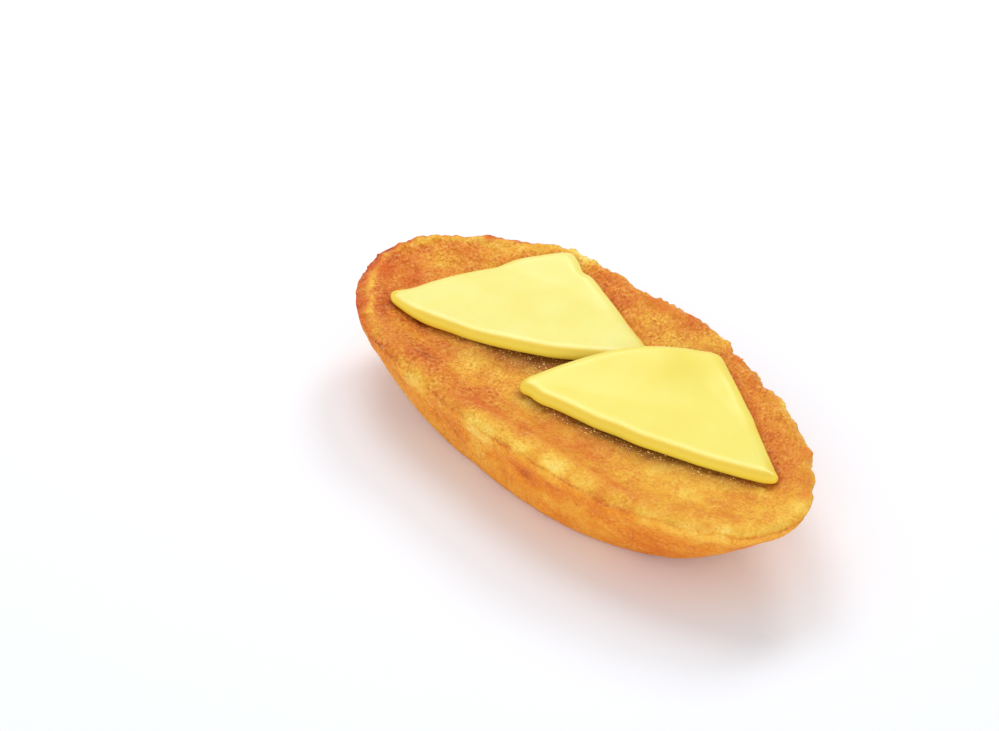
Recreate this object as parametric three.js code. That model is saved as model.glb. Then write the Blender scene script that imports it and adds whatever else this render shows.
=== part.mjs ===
// Cheese toast: one toasted half of a long soft roll, cut face up, with two cheese triangles on it.
// Millimetres, +Z up. X runs along the roll, Z = 0 is the surface that its crust rests on,
// and the point below the middle of the whole outline is the origin.

import * as THREE from "three";

// ---- driving dimensions of the roll ----
const HALF_LENGTH = 85; // of the plain oval that the cut face starts from
const HALF_WIDTH = 38.5;
const OVAL_POWER = 2.35; // 2 is an ellipse, more is squarer
const RIM_HEIGHT = 29; // the cut face's rim above the resting surface

// The baked roll isn't a true oval: it swells or draws in at these directions.
// at and spread are degrees round the rim, anticlockwise from the right end; size is millimetres.
const OUTLINE_SWELLS = [
  { at: -3, spread: 13, size: 7.5 },
  { at: 3, spread: 45, size: -1.6 },
  { at: 75, spread: 23, size: 4.4 },
  { at: 148, spread: 45, size: 3.9 },
  { at: 162, spread: 12, size: -5.4 },
  { at: -150, spread: 16, size: 3.9 },
];

// Crumbs and nicks of the torn rim: out is along the cut face, up is above it.
const RIM_CRUMBS = [
  { at: -4, spread: 3.6, out: -1.4, up: 0 },
  { at: 7.8, spread: 1.1, out: -0.9, up: -0.3 },
  { at: 10, spread: 4.5, out: -0.9, up: 0.1 },
  { at: 12.8, spread: 0.9, out: -1, up: -0.2 },
  { at: 34, spread: 3, out: 0.9, up: 0.5 },
  { at: 60, spread: 3.5, out: -1.3, up: -0.3 },
  { at: 73, spread: 6, out: -0.9, up: -0.5 },
  { at: 142, spread: 4.5, out: 1.2, up: 1.3 },
  { at: 171, spread: 6, out: -1.1, up: -0.7 },
];
const RIM_BAND = 14; // the rim's roughness fades inwards as this power of the share of the way out

const DISH_DEPTH = 3.8; // the cut face sinks this far inside its rim
const DISH_SLOPE = 15; // and takes this far to do it
const LIP_RISE = 0.9; // the browned lip of the far rim and the left end
const LIP_INSET = 2.2;
const LIP_WIDTH = 1.7;
const RIM_WEAR = 0.4; // the cut's sharp edge is rubbed off
const RIM_WEAR_WIDTH = 1.1;
const ROLL_OVER = 1.5; // the near edge of the cut face rounds down to a crease
const ROLL_OVER_REACH = 7;
const CREASE_DEPTH = 0.6;
const CREASE_WIDTH = 1.3;
const SHOULDER_SWELL = 0.9; // below the crease the crust swells out again
const SHOULDER_LEVEL = 0.12; // as a share of the way from the rim down to the base
const SHOULDER_SPREAD = 0.08;
const FAR_SHOULDER = 0.35; // on the far side it swells by only this share

// The near side, in degrees round the roll: its middle, and how far from there it is whole and ends.
const NEAR_MIDDLE = -75;
const NEAR_WHOLE = 55;
const NEAR_END = 100;
const NEAR_CALM = 0.75; // the near rim is this much smoother than the far one

const BASE_SCALE = 0.56; // the flat that the crust rests on, as a share of the outline
const BASE_SHIFT_X = 1.5; // it lies towards the near side of the middle
const BASE_SHIFT_Y = -7.5;
const SIDE_START_POWER = 1.12; // how soon the crust turns in below the rim
const SIDE_END_POWER = 1.44; // how gently it runs out into the base

const FACE_LUMP = { cell: 17, size: 0.75, seed: 3 };
const FACE_GRAIN = { cell: 5, size: 0.4, seed: 11 };
const RIM_CRAG = { cell: 7, size: 0.8, seed: 29 };
const RIM_RISE = 0.6; // the crag's share that goes up and down
const RIM_RISE_LAYER = 90; // and where in its bumps that is taken from
const CRUST_LUMP = { cell: 19, size: 0.7, seed: 41 };
const CRUST_GRAIN = { cell: 6, size: 0.25, seed: 53 };
const CRUST_CALM_TOP = 0.125; // the crust's bumps grow over this share of the way down
const CRUST_CALM_BASE = 0.8; // and shrink again below this share

// ---- driving dimensions of the cheese: each piece is a quarter of a square slice, cut corner to corner ----
const CHEESE_THICKNESS = 3.9;
const CHEESE_GAP = 0.55; // clear space over the bread's relief
const SLICE_GAP = 1.8; // the front piece bridges the rear one this far above it
const BRIDGE_REACH = 24; // and comes down to the bread over this distance
const TOP_EDGE_WIDTH = 4.2; // the soft upper edge rolls down over this width
const BOTTOM_EDGE_WIDTH = 1.2;
const EDGE_LEVEL = 0.32; // the widest line of the edge, as a share of the thickness
const CORNER_PULL = 0.4; // 0 cuts a corner straight off and 1 brings its curve far out towards the tip
const CHEESE_WAVE = { cell: 21, size: 0.35, seed: 67 };
const PRESSED = 0.75; // the bread's bumps are pressed down by this share under the cheese
const PRESSED_REACH = 4; // beyond its edge too, this far
const PRESSED_END = 7; // and less and less up to here

// Corners seen from above: the left tip, the square corner at the far side, the right tip.
// bow is how far each side swells out: left leg, right leg, then the long side.
// rounding is how far from each corner its curve starts. A nick is a small tear in the edge,
// or a small swelling of it where its depth is below 0.
const REAR_SLICE = {
  corners: [[-69, -25], [-46, 35], [12, 20.5]],
  bows: [3.8, 0.5, 7.2],
  rounding: [8, 3.3, 4.3],
  nicks: [{ x: -36, y: 31.5, reach: 3, depth: 1.4 }],
};
const FRONT_SLICE = {
  corners: [[-12, -21], [23, 33.5], [75.5, 7.7]],
  bows: [3.9, 1, 3.5],
  rounding: [8.4, 3, 2.5],
  nicks: [
    { x: -2, y: -18.3, reach: 1.6, depth: 0.4 },
    { x: 3.5, y: -18, reach: 3.4, depth: -1 },
  ],
};

// ---- how finely the skins are divided ----
const FACE_COLUMNS = 64;
const FACE_ROWS = 30;
const SIDE_RINGS = 13;
const SIDE_CROWDING = 1.15; // more than 1 crowds the rings towards the rim
const SLICE_COLUMNS = 60;
const SLICE_TOP_RINGS = 5;
const SLICE_EDGE_RINGS = 6;
const EDGE_CROWDING = 1.6; // more than 1 crowds them towards the outline
const UNDER_EDGE_SHARES = [0.3, 1]; // rings under a slice, as shares of its lower edge's width
const UNDER_MIDDLE_SHARE = 0.5; // and one halfway in

const DEGREES = Math.PI / 180;
const FULL_TURN = 360;
const TINY = 1e-9; // keeps a length from being nothing

// Odd whole numbers that scramble a lattice corner's place and a seed.
const SCRAMBLE_PLACE = [374761393, 668265263, 1440662683];
const SCRAMBLE_SEED = 974711;
const SCRAMBLE_ALL = 1274126177;
const MOST_32_BITS = 4294967295;

// ---- small shape helpers ----

function smooth(from, to, value) {
  const share = Math.min(Math.max((value - from) / (to - from), 0), 1);
  return share * share * (3 - 2 * share);
}

function hump(offset, width) {
  return Math.exp(-((offset / width) ** 2));
}

function turnBetween(angle, degrees) {
  const turn = (angle / DEGREES - degrees) % FULL_TURN;
  return turn - FULL_TURN * Math.round(turn / FULL_TURN);
}

// A fixed pseudo-random value in -1..1 for each corner of a cubic lattice.
function latticeValue(corner, seed) {
  let hash = Math.imul(seed, SCRAMBLE_SEED);
  corner.forEach((place, axis) => {
    hash = (hash + Math.imul(place, SCRAMBLE_PLACE[axis])) | 0;
  });
  hash = Math.imul(hash ^ (hash >>> 13), SCRAMBLE_ALL);
  hash = (hash ^ (hash >>> 16)) >>> 0;
  return (hash / MOST_32_BITS) * 2 - 1;
}

// Smooth bumps, with one lattice corner every relief.cell millimetres.
function bumps(relief, x, y, z) {
  const place = [x / relief.cell, y / relief.cell, z / relief.cell];
  const corner = place.map(Math.floor);
  const blend = place.map((value, axis) => smooth(0, 1, value - corner[axis]));
  let total = 0;
  for (let step = 0; step < 8; step += 1) {
    const side = [step & 1, (step >> 1) & 1, step >> 2];
    let weight = 1;
    for (let axis = 0; axis < 3; axis += 1) {
      weight *= side[axis] ? blend[axis] : 1 - blend[axis];
    }
    const cellCorner = corner.map((value, axis) => value + side[axis]);
    total += weight * latticeValue(cellCorner, relief.seed);
  }
  return relief.size * total;
}

// ---- the roll ----

function smoothOutlineRadius(angle) {
  const along = Math.abs(Math.cos(angle) / HALF_LENGTH) ** OVAL_POWER;
  const across = Math.abs(Math.sin(angle) / HALF_WIDTH) ** OVAL_POWER;
  let radius = (along + across) ** (-1 / OVAL_POWER);
  for (const swell of OUTLINE_SWELLS) {
    radius += swell.size * hump(turnBetween(angle, swell.at), swell.spread);
  }
  return radius;
}

function crumbs(angle, direction) {
  let total = 0;
  for (const crumb of RIM_CRUMBS) {
    total += crumb[direction] * hump(turnBetween(angle, crumb.at), crumb.spread);
  }
  return total;
}

// How far a point of the cut face lies inside the rim, given its share of the way out.
function distanceInsideRim(x, y, share) {
  const along = x / HALF_LENGTH;
  const across = y / HALF_WIDTH;
  const length = Math.hypot(along, across) + TINY;
  return (1 - share) / Math.hypot(along / length / HALF_LENGTH, across / length / HALF_WIDTH);
}

// 1 on the near side, where the crust shows below the cut face, 0 on the far side and the left end.
function nearSide(x, y) {
  const direction = Math.atan2(y / HALF_WIDTH, x / HALF_LENGTH);
  return smooth(NEAR_END, NEAR_WHOLE, Math.abs(turnBetween(direction, NEAR_MIDDLE)));
}

// Height of the cut face without its bumps, so that the cheese can lie on it.
function plainFaceHeight(x, y, share) {
  const inside = distanceInsideRim(x, y, share);
  const near = nearSide(x, y);
  const dish = DISH_DEPTH * smooth(LIP_INSET, LIP_INSET + DISH_SLOPE, inside);
  const lip = LIP_RISE * (1 - near) * hump(inside - LIP_INSET, LIP_WIDTH);
  const edge = RIM_WEAR * hump(inside, RIM_WEAR_WIDTH);
  const rollOver = ROLL_OVER * near * smooth(ROLL_OVER_REACH, 0, inside);
  return RIM_HEIGHT - dish + lip - edge - rollOver;
}

function shareOfWayOut(x, y) {
  return Math.hypot(x, y) / smoothOutlineRadius(Math.atan2(y, x));
}

// A point of the cut face: a square grid in -1..1 is bent into a disc, then stretched to the outline.
function facePoint(along, across) {
  const discX = along * Math.sqrt(1 - (across * across) / 2);
  const discY = across * Math.sqrt(1 - (along * along) / 2);
  const share = Math.hypot(discX, discY);
  const angle = Math.atan2(discY * HALF_WIDTH, discX * HALF_LENGTH);
  const plainX = share * smoothOutlineRadius(angle) * Math.cos(angle);
  const plainY = share * smoothOutlineRadius(angle) * Math.sin(angle);
  const edge = share ** RIM_BAND;
  const calm = 1 - NEAR_CALM * nearSide(plainX, plainY);
  const crag = edge * (calm * bumps(RIM_CRAG, plainX, plainY, 0) + crumbs(angle, "out"));
  const x = plainX + crag * Math.cos(angle);
  const y = plainY + crag * Math.sin(angle);
  const crease = CREASE_DEPTH * nearSide(x, y) * hump(distanceInsideRim(x, y, share), CREASE_WIDTH);
  const relief = bumps(FACE_LUMP, x, y, 0) + bumps(FACE_GRAIN, x, y, 0);
  const rise = RIM_RISE * bumps(RIM_CRAG, plainX, plainY, RIM_RISE_LAYER);
  const rimRelief = edge * (crumbs(angle, "up") + rise);
  const faceRelief = relief * (1 - PRESSED * cheeseCover(x, y));
  const z = plainFaceHeight(plainX, plainY, share) - crease + faceRelief + rimRelief;
  return new THREE.Vector3(x, y, z);
}

// A point of the crust below a rim point: level is 0 at the rim and 1 on the base.
function crustPoint(rim, level) {
  const angle = Math.atan2(rim.y, rim.x);
  const turnIn = 1 - (1 - level ** SIDE_START_POWER) ** (1 / SIDE_END_POWER);
  const scale = 1 - (1 - BASE_SCALE) * turnIn;
  const shoulderShare = FAR_SHOULDER + (1 - FAR_SHOULDER) * nearSide(rim.x, rim.y);
  const shoulder = SHOULDER_SWELL * shoulderShare * hump(level - SHOULDER_LEVEL, SHOULDER_SPREAD);
  const x = rim.x * scale + BASE_SHIFT_X * turnIn;
  const y = rim.y * scale + BASE_SHIFT_Y * turnIn;
  const z = rim.z * (1 - level);
  const fade = Math.min(level / CRUST_CALM_TOP, 1) * smooth(1, CRUST_CALM_BASE, level);
  const swell = shoulder + fade * (bumps(CRUST_LUMP, x, y, z) + bumps(CRUST_GRAIN, x, y, z));
  return new THREE.Vector3(x + swell * Math.cos(angle), y + swell * Math.sin(angle), z);
}

// Indices of the grid's outer loop, anticlockwise seen from above.
function gridLoop(columns, rows) {
  const loop = [];
  for (let i = 0; i < columns; i += 1) loop.push(i);
  for (let j = 0; j < rows; j += 1) loop.push(j * (columns + 1) + columns);
  for (let i = columns; i > 0; i -= 1) loop.push(rows * (columns + 1) + i);
  for (let j = rows; j > 0; j -= 1) loop.push(j * (columns + 1));
  return loop;
}

function rollGeometry() {
  const points = [];
  const faces = [];
  for (let j = 0; j <= FACE_ROWS; j += 1) {
    for (let i = 0; i <= FACE_COLUMNS; i += 1) {
      points.push(facePoint((2 * i) / FACE_COLUMNS - 1, (2 * j) / FACE_ROWS - 1));
    }
  }
  for (let j = 0; j < FACE_ROWS; j += 1) {
    for (let i = 0; i < FACE_COLUMNS; i += 1) {
      const corner = j * (FACE_COLUMNS + 1) + i;
      const above = corner + FACE_COLUMNS + 1;
      faces.push(corner, corner + 1, above + 1, corner, above + 1, above);
    }
  }
  const rim = gridLoop(FACE_COLUMNS, FACE_ROWS);
  let upper = rim;
  for (let ring = 1; ring <= SIDE_RINGS; ring += 1) {
    const level = (ring / SIDE_RINGS) ** SIDE_CROWDING;
    const lower = rim.map((index) => points.push(crustPoint(points[index], level)) - 1);
    for (let i = 0; i < rim.length; i += 1) {
      const next = (i + 1) % rim.length;
      faces.push(upper[i], lower[i], lower[next], upper[i], lower[next], upper[next]);
    }
    upper = lower;
  }
  const middle = points.push(new THREE.Vector3(BASE_SHIFT_X, BASE_SHIFT_Y, 0)) - 1;
  for (let i = 0; i < upper.length; i += 1) {
    faces.push(upper[i], middle, upper[(i + 1) % upper.length]);
  }
  return skin(points, faces);
}

function skin(points, faces) {
  const geometry = new THREE.BufferGeometry().setFromPoints(points);
  geometry.setIndex(faces);
  geometry.computeVertexNormals();
  return geometry;
}

// ---- the cheese ----

// Where two lines meet, each given by a point and a direction.
function meeting(point, direction, otherPoint, otherDirection) {
  const share = otherPoint.clone().sub(point).cross(otherDirection) / direction.cross(otherDirection);
  return point.clone().addScaledVector(direction, share);
}

// A triangle with bowed sides and rounded corners, anticlockwise from above.
function sliceOutline(slice) {
  const [left, square, right] = slice.corners.map(([x, y]) => new THREE.Vector2(x, y));
  const [leftRound, squareRound, rightRound] = slice.rounding;
  const [leftLegBow, rightLegBow, longSideBow] = slice.bows;
  const side = (from, fromRound, to, toRound, bow) => {
    const direction = to.clone().sub(from).normalize();
    const start = from.clone().addScaledVector(direction, fromRound);
    const end = to.clone().addScaledVector(direction, -toRound);
    const outward = new THREE.Vector2(direction.y, -direction.x);
    const middle = start.clone().add(end).multiplyScalar(0.5).addScaledVector(outward, 2 * bow);
    return { start, middle, end };
  };
  const sides = [
    side(left, leftRound, right, rightRound, longSideBow),
    side(right, rightRound, square, squareRound, rightLegBow),
    side(square, squareRound, left, leftRound, leftLegBow),
  ];
  const shape = new THREE.Shape();
  shape.moveTo(sides[0].start.x, sides[0].start.y);
  sides.forEach(({ middle, end }, index) => {
    const next = sides[(index + 1) % sides.length];
    const leaving = end.clone().sub(middle);
    const arriving = next.start.clone().sub(next.middle);
    const corner = meeting(end, leaving, next.start, arriving);
    const first = end.clone().lerp(corner, CORNER_PULL);
    const second = next.start.clone().lerp(corner, CORNER_PULL);
    shape.quadraticCurveTo(middle.x, middle.y, end.x, end.y);
    shape.bezierCurveTo(first.x, first.y, second.x, second.y, next.start.x, next.start.y);
  });
  return shape;
}

// Middle and radius of the largest circle inside the plain triangle.
function innerCircle(slice) {
  const [a, b, c] = slice.corners.map(([x, y]) => new THREE.Vector2(x, y));
  const opposite = [b.distanceTo(c), c.distanceTo(a), a.distanceTo(b)];
  const around = opposite[0] + opposite[1] + opposite[2];
  const middle = a.clone().multiplyScalar(opposite[0] / around);
  middle.addScaledVector(b, opposite[1] / around).addScaledVector(c, opposite[2] / around);
  const area = Math.abs(b.clone().sub(a).cross(c.clone().sub(a))) / 2;
  return { middle, radius: (2 * area) / around };
}

// Distance from a point to a slice's plain triangle, 0 inside it.
function distanceOutside(slice, x, y) {
  const point = new THREE.Vector3(x, y, 0);
  const corners = slice.corners.map(([cx, cy]) => new THREE.Vector3(cx, cy, 0));
  const nearest = new THREE.Triangle(...corners).closestPointToPoint(point, new THREE.Vector3());
  return nearest.distanceTo(point);
}

function cheeseCover(x, y) {
  const distance = Math.min(distanceOutside(REAR_SLICE, x, y), distanceOutside(FRONT_SLICE, x, y));
  return smooth(PRESSED_END, PRESSED_REACH, distance);
}

// The underside of a slice over a place of the cut face.
function sliceUnderside(x, y, lifted) {
  const bread = plainFaceHeight(x, y, Math.min(shareOfWayOut(x, y), 1)) + CHEESE_GAP;
  if (!lifted) return bread;
  const bridge = smooth(BRIDGE_REACH, 0, distanceOutside(REAR_SLICE, x, y));
  return bread + bridge * (CHEESE_THICKNESS + SLICE_GAP);
}

// The rings of a slice: their inset from the outline over the top, at its edge and underneath.
function sliceRings(radius) {
  const rings = [];
  for (let ring = 1; ring < SLICE_TOP_RINGS; ring += 1) {
    rings.push({ inset: radius + (TOP_EDGE_WIDTH - radius) * (ring / SLICE_TOP_RINGS), above: true });
  }
  for (let ring = 0; ring < SLICE_EDGE_RINGS; ring += 1) {
    rings.push({ inset: TOP_EDGE_WIDTH * (1 - ring / SLICE_EDGE_RINGS) ** EDGE_CROWDING, above: true });
  }
  rings.push({ inset: 0, above: true });
  for (const share of UNDER_EDGE_SHARES) rings.push({ inset: BOTTOM_EDGE_WIDTH * share, above: false });
  rings.push({ inset: radius * UNDER_MIDDLE_SHARE, above: false });
  return rings;
}

// Rises steeply from 0 at the outline to 1, in a quarter of a round.
function roundedEdge(distance, width) {
  return Math.sqrt(1 - (1 - Math.min(distance / width, 1)) ** 2);
}

function distanceToOutline(flat, outline) {
  let least = Infinity;
  const edge = new THREE.Line3();
  const point = new THREE.Vector3(flat.x, flat.y, 0);
  const nearest = new THREE.Vector3();
  for (let i = 0; i < outline.length; i += 1) {
    const next = outline[(i + 1) % outline.length];
    edge.start.set(outline[i].x, outline[i].y, 0);
    edge.end.set(next.x, next.y, 0);
    least = Math.min(least, edge.closestPointToPoint(point, true, nearest).distanceTo(point));
  }
  return least;
}

// Points round a slice, drawn in towards its middle at each nick.
function nickedOutline(slice, middle) {
  const outline = sliceOutline(slice).getSpacedPoints(SLICE_COLUMNS).slice(0, SLICE_COLUMNS);
  for (const edge of outline) {
    let pull = 0;
    for (const nick of slice.nicks) {
      pull += nick.depth * hump(Math.hypot(edge.x - nick.x, edge.y - nick.y), nick.reach);
    }
    edge.addScaledVector(edge.clone().sub(middle).normalize(), -pull);
  }
  return outline;
}

function sliceGeometry(slice, lifted) {
  const { middle, radius } = innerCircle(slice);
  const outline = nickedOutline(slice, middle);
  const place = (flat, above) => {
    const distance = distanceToOutline(flat, outline);
    const level = above
      ? EDGE_LEVEL + (1 - EDGE_LEVEL) * roundedEdge(distance, TOP_EDGE_WIDTH)
      : EDGE_LEVEL * (1 - roundedEdge(distance, BOTTOM_EDGE_WIDTH));
    const height = level * (CHEESE_THICKNESS + bumps(CHEESE_WAVE, flat.x, flat.y, 0));
    return new THREE.Vector3(flat.x, flat.y, sliceUnderside(flat.x, flat.y, lifted) + height);
  };
  const points = [place(middle, true)];
  const faces = [];
  let upper = null;
  for (const { inset, above } of sliceRings(radius)) {
    const flatRing = outline.map((edge) => middle.clone().lerp(edge, 1 - inset / radius));
    const lower = flatRing.map((flat) => points.push(place(flat, above)) - 1);
    for (let i = 0; i < lower.length; i += 1) {
      const next = (i + 1) % lower.length;
      if (upper) faces.push(upper[i], lower[i], lower[next], upper[i], lower[next], upper[next]);
      else faces.push(0, lower[i], lower[next]);
    }
    upper = lower;
  }
  const bottom = points.push(place(middle, false)) - 1;
  for (let i = 0; i < upper.length; i += 1) {
    faces.push(upper[i], bottom, upper[(i + 1) % upper.length]);
  }
  return skin(points, faces);
}

// ---- the pieces ----

function piece(name, geometry, colour, roughness) {
  const material = new THREE.MeshStandardMaterial({ color: colour, roughness, metalness: 0 });
  const mesh = new THREE.Mesh(geometry, material);
  mesh.name = name;
  return mesh;
}

const toast = new THREE.Group();
toast.add(piece("bun_half", rollGeometry(), 0xe0913f, 0.62));
toast.add(piece("cheese_rear", sliceGeometry(REAR_SLICE, false), 0xfaf08a, 0.38));
toast.add(piece("cheese_front", sliceGeometry(FRONT_SLICE, true), 0xfaef80, 0.38));

// The origin goes below the middle of the whole outline.
const box = new THREE.Box3().setFromObject(toast);
const centre = box.getCenter(new THREE.Vector3());
toast.position.set(-centre.x, -centre.y, 0);

export default toast;
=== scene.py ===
import math

import bpy
import numpy as np
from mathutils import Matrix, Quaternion, Vector


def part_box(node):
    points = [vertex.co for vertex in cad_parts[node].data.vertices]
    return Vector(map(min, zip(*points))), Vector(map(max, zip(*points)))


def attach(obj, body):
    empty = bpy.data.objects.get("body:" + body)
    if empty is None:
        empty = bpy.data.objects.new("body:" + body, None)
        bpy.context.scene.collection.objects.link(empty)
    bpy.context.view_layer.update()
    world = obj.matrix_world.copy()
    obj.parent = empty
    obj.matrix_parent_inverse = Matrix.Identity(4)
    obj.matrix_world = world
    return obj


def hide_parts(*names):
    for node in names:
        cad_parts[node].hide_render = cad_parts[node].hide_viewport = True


# The looks of a toasted half roll with two cheese triangles on it.
# Sizes are millimetres in the roll's own frame until a mesh is made, where MM turns them into metres.
MM = 0.001

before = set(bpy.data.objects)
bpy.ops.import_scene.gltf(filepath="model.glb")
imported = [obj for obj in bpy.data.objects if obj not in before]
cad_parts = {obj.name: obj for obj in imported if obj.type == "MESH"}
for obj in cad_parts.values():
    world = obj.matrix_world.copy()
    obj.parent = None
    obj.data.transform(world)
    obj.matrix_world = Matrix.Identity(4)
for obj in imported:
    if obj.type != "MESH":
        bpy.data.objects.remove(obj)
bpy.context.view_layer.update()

# ---- driving dimensions, the same as those of the solids ----
HALF_LENGTH = 85
HALF_WIDTH = 38.5
OVAL_POWER = 2.35
RIM_HEIGHT = 29

# Swells of the outline: (direction in degrees, spread in degrees, size).
OUTLINE_SWELLS = [
    (-3, 13, 7.5),
    (3, 45, -1.6),
    (75, 23, 4.4),
    (148, 45, 3.9),
    (162, 12, -5.4),
    (-150, 16, 3.9),
]

# Crumbs and nicks of the torn rim: (direction in degrees, spread in degrees, outwards, upwards).
RIM_CRUMBS = [
    (-4, 3.6, -1.4, 0),
    (7.8, 1.1, -0.9, -0.3),
    (10, 4.5, -0.9, 0.1),
    (12.8, 0.9, -1, -0.2),
    (34, 3, 0.9, 0.5),
    (60, 3.5, -1.3, -0.3),
    (73, 6, -0.9, -0.5),
    (142, 4.5, 1.2, 1.3),
    (171, 6, -1.1, -0.7),
]
RIM_BAND = 14  # the rim's roughness fades inwards, as this power of the share of the way out

DISH_DEPTH, DISH_SLOPE = 3.8, 15  # the cut face sinks this far, over this distance inside the lip
LIP_RISE, LIP_INSET, LIP_WIDTH = 0.9, 2.2, 1.7  # the browned lip of the far rim and the left end
RIM_WEAR, RIM_WEAR_WIDTH = 0.4, 1.1  # the very edge is worn down
ROLL_OVER, ROLL_OVER_REACH = 1.5, 7  # the near edge rounds down to a crease
CREASE_DEPTH, CREASE_WIDTH = 0.6, 1.3  # which runs along the near side

# Below the crease the crust swells out again; the level is 0 at the rim and 1 on the base.
SHOULDER_SWELL = 0.9
SHOULDER_LEVEL = 0.12
SHOULDER_SPREAD = 0.08
FAR_SHOULDER = 0.35  # on the far side it swells by only this share

# The near side, in degrees round the roll: its middle, and how far from there it is whole and where it ends.
NEAR_MIDDLE = -75
NEAR_WHOLE = 55
NEAR_END = 100
NEAR_CALM = 0.75  # the near rim is smoother than the far one by this share

BASE_SCALE = 0.56  # the flat that the crust rests on, as a share of the outline
BASE_SHIFT_X, BASE_SHIFT_Y = 1.5, -7.5
SIDE_START_POWER, SIDE_END_POWER = 1.12, 1.44  # how the crust turns in below the rim and into the base

# Bumps: (cell, height, seed).
FACE_LUMP = (17, 0.75, 3)
FACE_GRAIN = (5, 0.4, 11)
RIM_CRAG = (7, 0.8, 29)
RIM_RISE, RIM_RISE_LAYER = 0.6, 90  # the rim goes up and down by this share of another layer of its crag
CRUST_LUMP = (19, 0.7, 41)
CRUST_GRAIN = (6, 0.25, 53)
CRUST_CALM_TOP, CRUST_CALM_BASE = 0.125, 0.8  # the crust's bumps grow down to one and shrink from the other
CHEESE_WAVE = (21, 0.35, 67)

CHEESE_THICKNESS = 3.9
CHEESE_GAP = 0.55  # a slice lies this far over the plain face, clear of the pressed bumps
SLICE_GAP = 1.8  # the front slice passes over the rear one at this distance
BRIDGE_REACH = 24  # and comes down to the bread over this one
TOP_EDGE_WIDTH, BOTTOM_EDGE_WIDTH = 4.2, 1.2
EDGE_LEVEL = 0.32  # the widest line of the edge, as a share of the thickness
CORNER_PULL = 0.4  # 0 cuts a corner straight off and 1 brings its curve far out towards the tip
PRESSED = 0.75  # the bread's bumps are pressed down by this share under the cheese
PRESSED_REACH, PRESSED_END = 4, 7  # beyond its edge too, this far, and less and less up to there

# Corners: left tip, square corner, right tip. Bows: left leg, right leg, long side.
# Rounding is how far from each corner its curve starts. Nicks: (x, y, reach, depth).
REAR_SLICE = {
    "corners": [(-69, -25), (-46, 35), (12, 20.5)],
    "bows": (3.8, 0.5, 7.2),
    "rounding": (8, 3.3, 4.3),
    "nicks": [(-36, 31.5, 3, 1.4)],
}
FRONT_SLICE = {
    "corners": [(-12, -21), (23, 33.5), (75.5, 7.7)],
    "bows": (3.9, 1, 3.5),
    "rounding": (8.4, 3, 2.5),
    "nicks": [(-2, -18.3, 1.6, 0.4), (3.5, -18, 3.4, -1)],
}

# ---- the fine relief, which only the skins here have ----
CRUMB = (2.3, 0.17, 71)
FINE_CRUMB = (1.1, 0.12, 73)
CALM_GRAINS, COARSE_GRAINS = 0.7, 0.5  # the share of the crumb's height everywhere, and more where coarse
GRAINS_FADE = (-0.6, 0.6)  # crumb and pores fade between these distances inside the rim
PORE = (2.9, 1.0, 79)
PORE_DEPTH, PORE_START, PORE_WHOLE = 0.35, 0.35, 0.8
RIM_CRUMB = (2.6, 0.6, 83)
FINE_RIM_CRUMB = (1.2, 0.45, 89)
TORN_LAYER = 40  # the layer of the rim's bumps that stands up; layer 0 goes outwards
RIM_TEAR_BAND, TORN_BAND = 40, 20  # powers of the share of the way out, for the bits outwards and up
NEAR_TORN = 0.4  # the share of the height that is left on the near side
RIGHT_CALM = 0.65  # the rim tears less by this share at the right end, which starts and is whole at these x
RIGHT_CALM_START, RIGHT_CALM_WHOLE = 45, 75
CRUST_SKIN = (2.4, 0.08, 97)
CHEESE_SAG = (9, 0.1, 101)
CHEESE_EDGE_WAVE = (7, 0.3, 103)
CHEESE_SETTLES = 0.3  # soft cheese lies this much lower than its solid, down on the bread

# A slice's rounded edge gets a painted shade, a deeper yellow, within the second of these distances behind
# its long side, and only the legs' share of it from the first on.
LEGS_PAINTED_SHADE = 0.25
LONG_SIDE_DEPTHS = (9, 3)

# ---- how finely the skins are divided; the first three are the solids' own ----
CAD_COLUMNS, CAD_ROWS, CAD_RINGS = 64, 30, 13
FACE_COLUMNS, FACE_ROWS = 350, 154
SIDE_RINGS, BASE_RINGS = 40, 3
SIDE_CROWDING = 1.15  # more than 1 crowds the rings towards the rim
SLICE_COLUMNS = 300
SLICE_TOP_RINGS, SLICE_EDGE_RINGS, SLICE_UNDER_RINGS = 30, 18, 6
EDGE_CROWDING, UNDER_CROWDING = 1.6, 2  # more than 1 crowds the rings towards the outline
UNDER_SHARES = (0.25, 0.5, 0.75)  # rings below a slice, as shares of the way to its middle
CURVE_STEPS = 200  # of each side and each corner of a slice's outline

FULL_TURN = 360
TINY = 1e-9  # keeps the roll's middle from dividing by nothing

# Odd whole numbers that scramble a lattice corner's place and a seed.
SCRAMBLE_PLACE = (374761393, 668265263, 1440662683)
SCRAMBLE_SEED = 974711
SCRAMBLE_ALL = 1274126177
LOW_32_BITS = 0xFFFFFFFF
CELL_CORNERS = [(x, y, z) for z in (0, 1) for y in (0, 1) for x in (0, 1)]


# ---- small shape helpers ----
def smooth(low, high, value):
    """0 at low, 1 at high and beyond, with a soft start and end; low may be the larger one."""
    share = np.clip((value - low) / (high - low), 0, 1)
    return share * share * (3 - 2 * share)


def hump(offset, width):
    """1 at no offset, falling softly to both sides."""
    return np.exp(-((offset / width) ** 2))


def turn_between(angle, degrees):
    """Degrees from a direction in degrees to an angle in radians, the short way round."""
    turn = np.degrees(angle) - degrees
    return turn - FULL_TURN * np.round(turn / FULL_TURN)


def lattice_value(i, j, k, seed):
    """A fixed pseudo-random value in -1..1 for each corner of a cubic lattice."""
    place = i * SCRAMBLE_PLACE[0] + j * SCRAMBLE_PLACE[1] + k * SCRAMBLE_PLACE[2]
    value = (place + seed * SCRAMBLE_SEED) & LOW_32_BITS
    value = ((value ^ (value >> 13)) * SCRAMBLE_ALL) & LOW_32_BITS
    value ^= value >> 16
    return value / LOW_32_BITS * 2 - 1


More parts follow.
